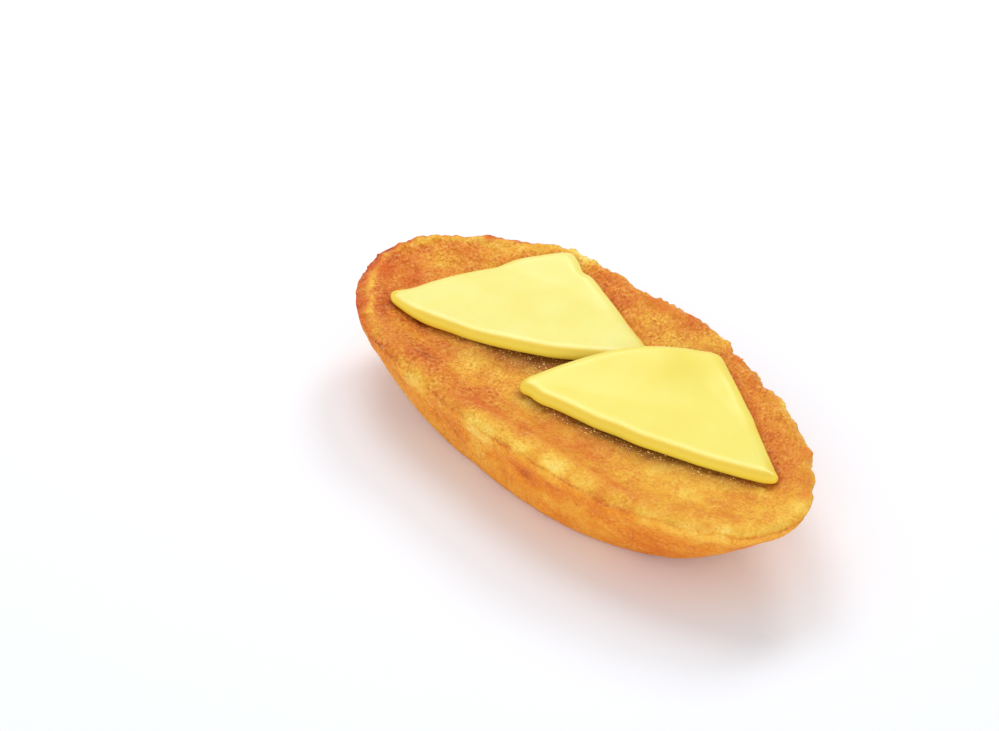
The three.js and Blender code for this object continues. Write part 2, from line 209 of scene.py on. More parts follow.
def bumps(relief, x, y, z=0.0):
    """Smooth bumps, with one lattice corner every cell."""
    cell, height, seed = relief
    place = [np.asarray(v, float) / cell for v in (x, y, z)]
    corner = [np.floor(v).astype(np.int64) for v in place]
    blend = [smooth(0, 1, v - c) for v, c in zip(place, corner)]
    total = 0
    for side in CELL_CORNERS:
        weight = 1
        for axis in range(3):
            weight = weight * (blend[axis] if side[axis] else 1 - blend[axis])
        total = total + weight * lattice_value(*(corner[axis] + side[axis] for axis in range(3)), seed)
    return height * total


# ---- the roll ----
def outline_radius(angle):
    """Distance from the middle to the plain outline."""
    along = np.abs(np.cos(angle) / HALF_LENGTH) ** OVAL_POWER
    across = np.abs(np.sin(angle) / HALF_WIDTH) ** OVAL_POWER
    radius = (along + across) ** (-1 / OVAL_POWER)
    for at, spread, size in OUTLINE_SWELLS:
        radius = radius + size * hump(turn_between(angle, at), spread)
    return radius


def crumbs(angle, upwards):
    """How far the rim's crumbs and nicks go upwards, or else outwards."""
    total = 0
    for at, spread, out, up in RIM_CRUMBS:
        total = total + (up if upwards else out) * hump(turn_between(angle, at), spread)
    return total


def distance_inside_rim(x, y, share):
    """About how far inside the rim a point lies that is at this share of the way out."""
    along, across = x / HALF_LENGTH, y / HALF_WIDTH
    length = np.hypot(along, across) + TINY
    slope = np.hypot(along / length / HALF_LENGTH, across / length / HALF_WIDTH)
    return (1 - share) / np.maximum(slope, TINY)


def near_side(x, y):
    """1 on the near side, where the crust shows below the cut face, 0 on the far side and the left end."""
    direction = np.arctan2(y / HALF_WIDTH, x / HALF_LENGTH)
    return smooth(NEAR_END, NEAR_WHOLE, np.abs(turn_between(direction, NEAR_MIDDLE)))


def plain_face_height(x, y, share):
    """Height of the cut face without bumps."""
    inside = distance_inside_rim(x, y, share)
    near = near_side(x, y)
    dish = DISH_DEPTH * smooth(LIP_INSET, LIP_INSET + DISH_SLOPE, inside)
    lip = LIP_RISE * (1 - near) * hump(inside - LIP_INSET, LIP_WIDTH)
    edge = RIM_WEAR * hump(inside, RIM_WEAR_WIDTH)
    roll_over = ROLL_OVER * near * smooth(ROLL_OVER_REACH, 0, inside)
    return RIM_HEIGHT - dish + lip - edge - roll_over


def grid_on_disc(columns, rows):
    """A square grid laid over a disc: each point's share of the way out and its direction on the roll."""
    along, across = np.meshgrid(np.linspace(-1, 1, columns + 1), np.linspace(-1, 1, rows + 1))
    along, across = along.ravel(), across.ravel()
    disc_x = along * np.sqrt(1 - across**2 / 2)
    disc_y = across * np.sqrt(1 - along**2 / 2)
    return np.hypot(disc_x, disc_y), np.arctan2(disc_y * HALF_WIDTH, disc_x * HALF_LENGTH)


def rim_crag(plain_x, plain_y, share, angle, fine):
    """How far the rim's torn edge goes outwards. fine adds its smallest bits."""
    calm = 1 - NEAR_CALM * near_side(plain_x, plain_y)
    crag = share**RIM_BAND * (calm * bumps(RIM_CRAG, plain_x, plain_y) + crumbs(angle, False))
    if fine:
        torn = bumps(RIM_CRUMB, plain_x, plain_y) + bumps(FINE_RIM_CRUMB, plain_x, plain_y)
        torn = torn * (1 - RIGHT_CALM * smooth(RIGHT_CALM_START, RIGHT_CALM_WHOLE, plain_x))
        crag = crag + share**RIM_TEAR_BAND * calm * torn
    return crag


def face_points(columns, rows, fine):
    """Points of the cut face, row by row, and how far each lies inside the rim. fine adds torn crumb."""
    share, angle = grid_on_disc(columns, rows)
    plain_x = share * outline_radius(angle) * np.cos(angle)
    plain_y = share * outline_radius(angle) * np.sin(angle)
    crag = rim_crag(plain_x, plain_y, share, angle, fine)
    x = plain_x + crag * np.cos(angle)
    y = plain_y + crag * np.sin(angle)
    inside = distance_inside_rim(x, y, share)
    crease = CREASE_DEPTH * near_side(x, y) * hump(inside, CREASE_WIDTH)
    relief = bumps(FACE_LUMP, x, y) + bumps(FACE_GRAIN, x, y)
    rim_rise = crumbs(angle, True) + RIM_RISE * bumps(RIM_CRAG, plain_x, plain_y, RIM_RISE_LAYER)
    height = plain_face_height(plain_x, plain_y, share) - crease + share**RIM_BAND * rim_rise
    height = height + relief * (1 - PRESSED * cheese_cover(x, y))
    if fine:
        height = height + face_crumb(x, y, share, inside)
    return np.column_stack([x, y, height]), inside


def face_crumb(x, y, share, inside):
    """The fine relief of the toasted crumb: grains, small pores, and rough torn bits towards the rim."""
    grains = bumps(CRUMB, x, y) + bumps(FINE_CRUMB, x, y)
    grains = grains * (CALM_GRAINS + COARSE_GRAINS * coarseness(x, y))
    pores = PORE_DEPTH * smooth(PORE_START, PORE_WHOLE, bumps(PORE, x, y))
    rough = share**TORN_BAND * (1 - (1 - NEAR_TORN) * near_side(x, y))
    torn = rough * (bumps(RIM_CRUMB, x, y, TORN_LAYER) + bumps(FINE_RIM_CRUMB, x, y, TORN_LAYER))
    return (grains - pores) * smooth(*GRAINS_FADE, inside) + torn


def crust_points(rim, level, fine):
    """A ring of the crust below the rim's points, at one level of it."""
    angle = np.arctan2(rim[:, 1], rim[:, 0])
    turn_in = 1 - (1 - level**SIDE_START_POWER) ** (1 / SIDE_END_POWER)
    scale = 1 - (1 - BASE_SCALE) * turn_in
    shoulder_share = FAR_SHOULDER + (1 - FAR_SHOULDER) * near_side(rim[:, 0], rim[:, 1])
    shoulder = SHOULDER_SWELL * shoulder_share * hump(level - SHOULDER_LEVEL, SHOULDER_SPREAD)
    x = rim[:, 0] * scale + BASE_SHIFT_X * turn_in
    y = rim[:, 1] * scale + BASE_SHIFT_Y * turn_in
    z = rim[:, 2] * (1 - level)
    fade = min(level / CRUST_CALM_TOP, 1) * smooth(1, CRUST_CALM_BASE, level)
    relief = bumps(CRUST_LUMP, x, y, z) + bumps(CRUST_GRAIN, x, y, z)
    if fine:
        relief = relief + bumps(CRUST_SKIN, x, y, z)
    swell = shoulder + fade * relief
    return np.column_stack([x + swell * np.cos(angle), y + swell * np.sin(angle), z])


def grid_loop(columns, rows):
    """Indices of the face grid's outer loop, anticlockwise seen from above."""
    width = columns + 1
    bottom = np.arange(columns)
    right = np.arange(rows) * width + columns
    top = rows * width + np.arange(columns, 0, -1)
    left = np.arange(rows, 0, -1) * width
    return np.concatenate([bottom, right, top, left])


def band(upper, lower):
    """Quads between two closed rings of point indices, facing outwards."""
    return np.column_stack([upper, lower, np.roll(lower, -1), np.roll(upper, -1)])


def roll_skin(columns, rows, rings, base_rings, fine):
    """The roll's points and faces, and each point's distance inside the rim and level down the crust."""
    face, inside = face_points(columns, rows, fine)
    points, levels = [face], [np.zeros(len(face))]
    corner = (np.arange(rows)[:, None] * (columns + 1) + np.arange(columns)).ravel()
    faces = [np.column_stack([corner, corner + 1, corner + columns + 2, corner + columns + 1])]
    loop = grid_loop(columns, rows)
    rim, upper, count = face[loop], loop, len(face)
    base_middle = np.array([BASE_SHIFT_X, BASE_SHIFT_Y, 0])
    for ring in range(1, rings + base_rings):
        level = min(ring / rings, 1) ** SIDE_CROWDING
        ring_points = crust_points(rim, level, fine)
        if ring > rings:
            ring_points = ring_points + (base_middle - ring_points) * (ring - rings) / base_rings
        points.append(ring_points)
        levels.append(np.full(len(loop), level))
        lower = count + np.arange(len(loop))
        faces.append(band(upper, lower))
        upper, count = lower, count + len(loop)
    points.append(base_middle[None])
    levels.append(np.ones(1))
    fan = np.column_stack([upper, np.full(len(loop), count), np.roll(upper, -1)])
    points, levels = np.vstack(points), np.concatenate(levels)
    inside = np.concatenate([inside, np.zeros(len(points) - len(face))])
    return points, faces + [fan], inside, levels


# ---- the cheese ----
def cross(a, b):
    """Above 0 where b lies to the left of a."""
    return a[0] * b[1] - a[1] * b[0]


def slice_sides(shape):
    """Start, middle control and end of each bowed side, going anticlockwise from the left tip."""
    left, square, right = (np.array(corner, float) for corner in shape["corners"])
    left_round, square_round, right_round = shape["rounding"]
    left_leg_bow, right_leg_bow, long_side_bow = shape["bows"]
    sides = []
    for start, start_round, end, end_round, bow in (
        (left, left_round, right, right_round, long_side_bow),
        (right, right_round, square, square_round, right_leg_bow),
        (square, square_round, left, left_round, left_leg_bow),
    ):
        direction = (end - start) / np.linalg.norm(end - start)
        first = start + direction * start_round
        last = end - direction * end_round
        outward = np.array([direction[1], -direction[0]])
        sides.append((first, (first + last) / 2 + outward * 2 * bow, last))
    return sides


def slice_outline(shape, count):
    """Evenly spaced points of a triangle with bowed sides and rounded corners, anticlockwise from above."""
    sides = slice_sides(shape)
    steps = np.linspace(0, 1, CURVE_STEPS, endpoint=False)[:, None]
    back = 1 - steps
    curve = []
    for (start, middle, end), (next_start, next_middle, _) in zip(sides, sides[1:] + sides[:1]):
        leaving, arriving = end - middle, next_start - next_middle
        corner = end + leaving * cross(next_start - end, arriving) / cross(leaving, arriving)
        first = end + (corner - end) * CORNER_PULL
        second = next_start + (corner - next_start) * CORNER_PULL
        curve.append(back**2 * start + 2 * steps * back * middle + steps**2 * end)
        rounding = back**3 * end + 3 * steps * back**2 * first + 3 * steps**2 * back * second
        curve.append(rounding + steps**3 * next_start)
    curve = np.vstack(curve + [curve[0][:1]])
    length = np.concatenate([[0], np.cumsum(np.linalg.norm(np.diff(curve, axis=0), axis=1))])
    at = np.linspace(0, length[-1], count, endpoint=False)
    return np.column_stack([np.interp(at, length, curve[:, axis]) for axis in (0, 1)])


def inner_circle(shape):
    """Middle and radius of the largest circle inside the plain triangle."""
    a, b, c = (np.array(corner, float) for corner in shape["corners"])
    opposite = [np.linalg.norm(b - c), np.linalg.norm(c - a), np.linalg.norm(a - b)]
    middle = (a * opposite[0] + b * opposite[1] + c * opposite[2]) / sum(opposite)
    return middle, abs(cross(b - a, c - a)) / sum(opposite)


def distance_to_segment(x, y, a, b):
    edge_x, edge_y = b[0] - a[0], b[1] - a[1]
    share = np.clip(((x - a[0]) * edge_x + (y - a[1]) * edge_y) / (edge_x**2 + edge_y**2), 0, 1)
    return np.hypot(x - a[0] - share * edge_x, y - a[1] - share * edge_y)


def distance_to_outline(outline, x, y):
    distance = np.full(np.shape(x), np.inf)
    for a, b in zip(outline, np.roll(outline, -1, axis=0)):
        distance = np.minimum(distance, distance_to_segment(x, y, a, b))
    return distance


def distance_outside(shape, x, y):
    """Distance to a slice's plain triangle, 0 inside it."""
    corners = shape["corners"]
    inside = np.ones(np.shape(x), bool)
    nearest = np.full(np.shape(x), np.inf)
    for a, b in zip(corners, corners[1:] + corners[:1]):
        inside &= cross((b[0] - a[0], b[1] - a[1]), (x - a[0], y - a[1])) <= 0
        nearest = np.minimum(nearest, distance_to_segment(x, y, a, b))
    return np.where(inside, 0, nearest)


def cheese_cover(x, y):
    """1 under and just beside the cheese, 0 away from it."""
    distance = np.minimum(distance_outside(REAR_SLICE, x, y), distance_outside(FRONT_SLICE, x, y))
    return smooth(PRESSED_END, PRESSED_REACH, distance)


def slice_underside(x, y, lifted):
    """Height of a slice's underside; a lifted slice passes over the rear one."""
    share = np.hypot(x, y) / outline_radius(np.arctan2(y, x))
    bread = plain_face_height(x, y, np.minimum(share, 1)) + CHEESE_GAP - CHEESE_SETTLES
    if not lifted:
        return bread
    bridge = smooth(BRIDGE_REACH, 0, distance_outside(REAR_SLICE, x, y))
    return bread + bridge * (CHEESE_THICKNESS + SLICE_GAP)


def rounded_edge(distance, width):
    """A quarter round: 0 at the outline, 1 from width inside it."""
    return np.sqrt(1 - (1 - np.minimum(distance / width, 1)) ** 2)


def soft_outline(shape):
    """The outline with its nicks, and with the slight waves of a soft edge."""
    middle, _ = inner_circle(shape)
    outline = slice_outline(shape, SLICE_COLUMNS)
    push = bumps(CHEESE_EDGE_WAVE, outline[:, 0], outline[:, 1])
    for nick_x, nick_y, reach, depth in shape["nicks"]:
        push = push - depth * hump(np.hypot(outline[:, 0] - nick_x, outline[:, 1] - nick_y), reach)
    outward = (outline - middle) / np.linalg.norm(outline - middle, axis=1)[:, None]
    return outline + outward * push[:, None]


def slice_rings(radius):
    """The rings of a slice: their inset from the outline, and whether they are above its edge."""
    top = [radius + (TOP_EDGE_WIDTH - radius) * ring / SLICE_TOP_RINGS for ring in range(1, SLICE_TOP_RINGS)]
    edge_shares = np.linspace(1, 0, SLICE_EDGE_RINGS + 1) ** EDGE_CROWDING
    under_shares = (np.arange(1, SLICE_UNDER_RINGS + 1) / SLICE_UNDER_RINGS) ** UNDER_CROWDING
    under = [BOTTOM_EDGE_WIDTH + (radius - BOTTOM_EDGE_WIDTH) * share for share in UNDER_SHARES]
    above = top + list(TOP_EDGE_WIDTH * edge_shares)
    below = list(BOTTOM_EDGE_WIDTH * under_shares) + under
    return [(inset, True) for inset in above] + [(inset, False) for inset in below]


def painted_shade_share(shape, x, y):
    """How much painted shade a slice's edge gets: 1 along the long side, the legs' share at the other sides.
    """
    (left_x, left_y), _, (right_x, right_y) = shape["corners"]
    length = math.hypot(right_x - left_x, right_y - left_y)
    behind = ((y - left_y) * (right_x - left_x) - (x - left_x) * (right_y - left_y)) / length
    return LEGS_PAINTED_SHADE + (1 - LEGS_PAINTED_SHADE) * smooth(*LONG_SIDE_DEPTHS, behind)


def level_in_slice(distance, above):
    """Height in a slice at a distance inside its outline, as a share of the thickness."""
    if above:
        return EDGE_LEVEL + (1 - EDGE_LEVEL) * rounded_edge(distance, TOP_EDGE_WIDTH)
    return EDGE_LEVEL * (1 - rounded_edge(distance, BOTTOM_EDGE_WIDTH))


def place_on_slice(flat, above, outline, lifted):
    """Points on a slice at flat places, and how far over its edge each point lies: 0 on top, 1 underneath."""
    x, y = flat[:, 0], flat[:, 1]
    distance = distance_to_outline(outline, x, y)
    thickness = CHEESE_THICKNESS + bumps(CHEESE_WAVE, x, y) + bumps(CHEESE_SAG, x, y)
    height = slice_underside(x, y, lifted) + level_in_slice(distance, above) * thickness
    over = 1 - distance / TOP_EDGE_WIDTH if above else np.ones(len(flat))
    return np.column_stack([flat, height]), np.maximum(over, 0)


def slice_faces(rings):
    """The faces of a slice whose points are its top middle, its rings and its middle below."""
    first = 1 + np.arange(SLICE_COLUMNS)
    last = first + (rings - 1) * SLICE_COLUMNS
    below = np.full(SLICE_COLUMNS, 1 + rings * SLICE_COLUMNS)
    faces = [np.column_stack([np.zeros(SLICE_COLUMNS, int), first, np.roll(first, -1)])]
    for ring in range(1, rings):
        lower = first + ring * SLICE_COLUMNS
        faces.append(band(lower - SLICE_COLUMNS, lower))
    return faces + [np.column_stack([last, below, np.roll(last, -1)])]


def slice_skin(shape, lifted):
    """Points and faces of a slice, and how far over its edge each point lies."""
    middle, radius = inner_circle(shape)
    outline = soft_outline(shape)
    rings = slice_rings(radius)
    flats = [(middle + (outline - middle) * (1 - inset / radius), above) for inset, above in rings]
    flats = [(middle[None], True)] + flats + [(middle[None], False)]
    placed = [place_on_slice(flat, above, outline, lifted) for flat, above in flats]
    points = np.vstack([ring_points for ring_points, _ in placed])
    return points, slice_faces(len(rings)), np.concatenate([over for _, over in placed])


# ---- how the bread is coloured ----
FACE_TOAST, SIDE_TOAST = 0.56, 0.55
SIDE_WHOLE = 0.1  # the crust has its own toast from this level down
CRUST_WHOLE = 0.04  # and its own shades from this one
TOAST_BLOTCH = (13, 0.1, 107)
TOAST_SPOT = (4.2, 0.08, 109)

# Places that are toasted more or less than the rest, and some spots of painted light and painted shade: (x,
# y, z, reach, amount).
# Some darken the bread beside the slices as painted shadow, and some lighten spots that the lamps leave dim.
TOAST_AND_LIGHT_PATCHES = [
    (-79, 4, 28, 14, 0.08),
    (-79, 19, 28, 5, -0.16),
    (-66, 14, 27, 8, 0.06),
    (-64, 25, 28, 7, -0.12),
    (-73, 5, 26, 5, -0.26),
    (-71, -15, 26, 8, 0.14),
    (-57, -24, 28, 12, 0.1),
    (-60, -31, 28, 6, 0.16),
    (-80, -15, 28, 5, 0.3),
    (-74, -2, 26, 5, 0.12),
    (-84, -7, 28, 5, 0.34),
    (-52, -16, 25, 5, 0.2),
    (-70, -26, 28, 5, 0.14),
    (-63, -35, 28, 6, -0.44),
    (-36, -31, 27, 7, 0.18),
    (-42, 38, 28, 5, -0.7),
    (-52, 33, 28, 5, -0.16),
    (-27, 33, 28, 6, 0.22),
    # painted shadow beside the rear slice's right leg
    (-19, 30, 26, 5, 0.26),
    (-9, 39, 27, 4, 0.2),
    (6, 41, 28, 7, 0.26),
    (10, 30, 26, 7, -0.22),
    (19, 38, 28, 5, -0.14),
    (30, 37, 28, 6, 0.2),
    (38, 29, 26, 5, 0.1),
    (50, 32, 28, 6, -0.12),
    # painted shadow beside the front slice's right leg
    (54, 22, 26, 5, 0.14),
    (0, 32, 26, 7, -0.14),
    (-14, 28, 26, 5, 0.12),
    (-25, -19, 25, 8, -0.16),
    # painted light: these two lighten the shade beside the front slice's left tip
    (-9, -11, 25, 5, -0.24),
    (-1, -19, 25, 4, -0.2),
    (14, -28, 26, 6, 0.18),
    (30, -23, 25, 6, 0.12),
    (44, -32, 27, 3, 0.16),
    (0, -24, 26, 5, 0.12),
    (-11, -35, 27, 8, 0.3),
    (-42, -33, 27, 6, 0.12),
    (48, -13, 25, 7, -0.26),
    (60, -9, 25, 9, -0.2),
    (69, 11, 26, 6, 0.26),
    (78, 9, 26, 4, 0.2),
    (72, 4, 25, 3, -0.2),
    (60, 17, 26, 5, 0.14),
    (46, 24, 26, 5, 0.14),
    (77, 17, 27, 6, -0.14),
    (87, 6, 27, 6, -0.2),
    (80, -1, 27, 8, -0.26),
    (88, -10, 27, 6, -0.16),
    (62, -28, 28, 6, -0.3),
    (68, -31, 27, 6, -0.3),
    (57, -23, 26, 5, 0.08),
    (66, -25, 27, 5, 0.2),
    (69, -14, 25, 5, 0.14),
    (73, -21, 26, 4, 0.14),
    (78, -17, 26, 4, 0.14),
    # painted light: these two lighten the near right crust, which the lamps leave dim
    (75, -28, 27, 8, -0.7),
    (79, -26, 25, 5, -0.3),
    (83, -21, 28, 6, -0.5),
    (-31, -42, 27, 7, -0.9),
    (-30, -33, 27, 7, 0.24),
    (-14, -42, 26, 8, -0.44),
    (-4, -40, 26, 5, -0.4),
    (2, -42, 26, 7, -0.56),
    (0, -33, 27, 4, 0.14),
    (16, -38, 28, 6, -0.4),
    (29, -36, 28, 6, -0.46),
    (41, -34, 28, 5, -0.2),
    (50, -33, 28, 4, -0.18),
    (31, -40, 21, 6, 0.36),
    (48, -38, 21, 6, 0.2),
    (18, -38, 19, 6, 0.34),
    (30, -38, 27, 4, -0.2),
    (-14, -40, 17, 9, 0.2),
    (78, -34, 20, 10, 0.36),
    (54, -26, 10, 12, 0.22),
    (-4, -37, 13, 8, -0.3),
    (36, -37, 14, 6, -0.3),
    (44, -37, 22, 6, 0.12),
    (45, -29, 14, 6, -0.16),
]

# Bands that follow the rim: (how much more toasted, how far inside the rim, width).
FAR_RIM = (-0.14, 0, 1.4)
LEFT_RIM = (0.1, 0, 1.9)
LEFT_CRUMB = (-0.36, 3.2, 1.1)
CREASE_LINE = (0.4, 0, 0.6)
CREASE_LEVEL = 0.03  # how far down the crust it reaches
CREASE_START, CREASE_BREAKS = 0.6, (9, 0.5, 127)  # its strength, and how much that comes and goes
RIM_WANDER = (3.4, 1.0, 113)  # the left end's bands wander in and out
CRUMB_BREAKS = (6, 1.0, 137)  # and the pale one comes and goes
LEFT_END_START, LEFT_END_WHOLE = -50, -66  # x

# How much paler the low crust is, and the levels where that starts, is whole, starts to fade and ends.
LOW_CRUST = -0.08
LOW_CRUST_LEVELS = (0.3, 0.75, 0.85, 1)

# The reddish line just inside the near crease, as (x, y, strength).
RED_LINE = [
    (-18, -36, 0.5),
    (-7, -32, 1),
    (16, -30, 0.3),
    (35, -27.6, 0.8),
    (45, -26.7, 1),
    (66, -26.4, 0.2),
    (73, -23, 0.4),
    (86, -14.6, 0),
]
RED_LINE_WIDTH, RED_LINE_SHADE = 1.5, 0.55

# The red of the left end's rim, and red places: (x, y, z, reach, amount).
RED_RIM_WIDTH, RED_RIM_SHADE = 1.7, 0.9
RED_RIM_LEVEL = 0.05  # how far down the crust it reaches
RED_PATCHES = [
    (-79, -11, 28, 3.6, 0.8),
    (-74, -4, 27, 5, 0.3),
    (-68, 22, 28, 8, 0.25),
]

# The red, scorched bits along the far rim are where these bumps are high.
SCORCH = (8, 1.0, 139)
SCORCH_START, SCORCH_WHOLE = 0.05, 0.5
SCORCH_INSIDE, SCORCH_WIDTH = 2, 2.4
SCORCH_SHADE = 0.6

# The crumb is coarsest on the far side and left of COARSE_LEFT, but not right of COARSE_RIGHT.
COARSE_LEAST = 0.65
COARSE_LEFT = (20, -10)
COARSE_RIGHT = (85, 60)


def rim_band(settings, inside):
    """How much more a band that follows the rim is toasted at a distance inside it."""
    amount, at, width = settings
    return amount * hump(inside - at, width)


def patches(places, points):
    """The sum of some round, soft places."""
    total = 0
    for patch_x, patch_y, patch_z, reach, amount in places:
        away = np.linalg.norm(points - np.array([patch_x, patch_y, patch_z]), axis=1)
        total = total + amount * hump(away, reach)
    return total


def toast_and_painted_light(points, inside, levels):
    """How far the bread is toasted, from 0 pale to 1 dark, with the patches' spots of painted light and
    painted shade.
    """
    x, y, z = points.T
    side = smooth(0, SIDE_WHOLE, levels)
    near = near_side(x, y)
    toast_and_light = FACE_TOAST + (SIDE_TOAST - FACE_TOAST) * side + patches(TOAST_AND_LIGHT_PATCHES, points)
    left_end = smooth(LEFT_END_START, LEFT_END_WHOLE, x)
    uneven_inside = inside - bumps(RIM_WANDER, x, y)
    torn = np.clip(1 + bumps(CRUMB_BREAKS, x, y), 0, 1)
    left_bands = rim_band(LEFT_RIM, uneven_inside) + torn * rim_band(LEFT_CRUMB, uneven_inside)
    far_band = (1 - near) * (1 - left_end) * rim_band(FAR_RIM, inside)
    toast_and_light = toast_and_light + (1 - side) * (left_end * left_bands + far_band)
    crease = rim_band(CREASE_LINE, inside) * hump(levels, CREASE_LEVEL)
    toast_and_light = toast_and_light + near * crease * (CREASE_START + bumps(CREASE_BREAKS, x, y))
    start, whole, fading, gone = LOW_CRUST_LEVELS
    toast_and_light = toast_and_light + LOW_CRUST * smooth(start, whole, levels) * smooth(gone, fading, levels)
    return toast_and_light + bumps(TOAST_BLOTCH, x, y, z) + bumps(TOAST_SPOT, x, y, z)


def redness(points, inside, levels):
    """How red the toasted bread is, from 0 to 1."""
    x, y = points[:, 0], points[:, 1]
    left_end = smooth(LEFT_END_START, LEFT_END_WHOLE, x)
    uneven_inside = inside - bumps(RIM_WANDER, x, y)
    rim = RED_RIM_SHADE * left_end * hump(uneven_inside, RED_RIM_WIDTH) * hump(levels, RED_RIM_LEVEL)
    line, strength = red_line(x, y)
    inner_line = RED_LINE_SHADE * strength * hump(line, RED_LINE_WIDTH) * (levels == 0)
    scorched = smooth(SCORCH_START, SCORCH_WHOLE, bumps(SCORCH, x, y))
    scorched = scorched * hump(inside - SCORCH_INSIDE, SCORCH_WIDTH) * hump(levels, RED_RIM_LEVEL)
    far_rim = SCORCH_SHADE * scorched * (1 - near_side(x, y)) * (1 - left_end)
    return np.clip(rim + inner_line + far_rim + patches(RED_PATCHES, points), 0, 1)


def coarseness(x, y):
    """How rough and uneven the crumb's grain is, from COARSE_LEAST to 1."""
    coarse = np.maximum(1 - near_side(x, y), smooth(*COARSE_LEFT, x)) * smooth(*COARSE_RIGHT, x)
    return COARSE_LEAST + (1 - COARSE_LEAST) * coarse


# The greasy, darker bread along a slice's long side, partly grease and partly painted shadow under its near
# edge: (how much, where along it this peaks, spread, width).
REAR_GREASE_AND_SHADOW = (1.15, 0.8, 0.4, 7)
FRONT_GREASE_AND_SHADOW = (0.85, 0.54, 0.45, 4.8)
GREASE_AND_SHADOW_UNDER = 5  # it starts this far under the cheese
GREASE_AND_SHADOW_ENDS = 0.1  # and fades out over this share of the side at both ends
CONTACT_GREASE_AND_SHADOW, CONTACT_WIDTH = 0.3, 1.6  # a narrow line of grease and painted contact shadow goes all round a slice


def grease_and_shadow_of_slice(shape, settings, x, y):
    """The grease and painted shadow along a slice's long side, and the grease and painted contact shadow in
    the line round it.
    """
    amount, peak, spread, width = settings
    (left_x, left_y), _, (right_x, right_y) = shape["corners"]
    length = math.hypot(right_x - left_x, right_y - left_y)
    along_x, along_y = (right_x - left_x) / length, (right_y - left_y) / length
    share = ((x - left_x) * along_x + (y - left_y) * along_y) / length
    outside = (x - left_x) * along_y - (y - left_y) * along_x
    long_side = amount * smooth(-GREASE_AND_SHADOW_UNDER, 0, outside) * hump(share - peak, spread)
    ends = smooth(0, GREASE_AND_SHADOW_ENDS, share) * smooth(1, 1 - GREASE_AND_SHADOW_ENDS, share)
    distance = distance_to_outline(soft_outline(shape), x, y)
    return long_side * ends * hump(distance, width) + CONTACT_GREASE_AND_SHADOW * hump(distance, CONTACT_WIDTH)


def grease_and_shadow(x, y):
    """How greasy the bread is, with painted shadow beside the slices, from 0 to 1."""
    rear = grease_and_shadow_of_slice(REAR_SLICE, REAR_GREASE_AND_SHADOW, x, y)
    return np.clip(rear + grease_and_shadow_of_slice(FRONT_SLICE, FRONT_GREASE_AND_SHADOW, x, y), 0, 1)


def red_line(x, y):
    """Distance to the red line, and its strength at the nearest place."""
    nearest, strength = np.full(len(x), np.inf), np.zeros(len(x))
    for (ax, ay, a_strength), (bx, by, b_strength) in zip(RED_LINE, RED_LINE[1:]):
        distance = distance_to_segment(x, y, (ax, ay), (bx, by))
        share = np.clip((x - ax) / (bx - ax), 0, 1)
        closer = distance < nearest
        strength = np.where(closer, a_strength + (b_strength - a_strength) * share, strength)
        nearest = np.minimum(nearest, distance)
    return nearest, strength


# ---- material helpers ----
BRIGHTEST = 255
SRGB_STEP, SRGB_SLOPE, SRGB_OFFSET, SRGB_POWER = 0.04045, 12.92, 0.055, 2.4  # the sRGB curve
MIX_SHARE, MIX_A, MIX_B, MIX_RESULT = 0, 6, 7, 2  # the sockets of a Mix node that mixes colours
RAMP_MIDDLE = 0.5  # a new stop's first place


def linear(value):
    """A brightness of 0..255, as it is seen, as Blender's linear one."""
    seen = value / BRIGHTEST
    if seen <= SRGB_STEP:
        return seen / SRGB_SLOPE
    return ((seen + SRGB_OFFSET) / (1 + SRGB_OFFSET)) ** SRGB_POWER


def colour(red, green, blue):
    return (linear(red), linear(green), linear(blue), 1)


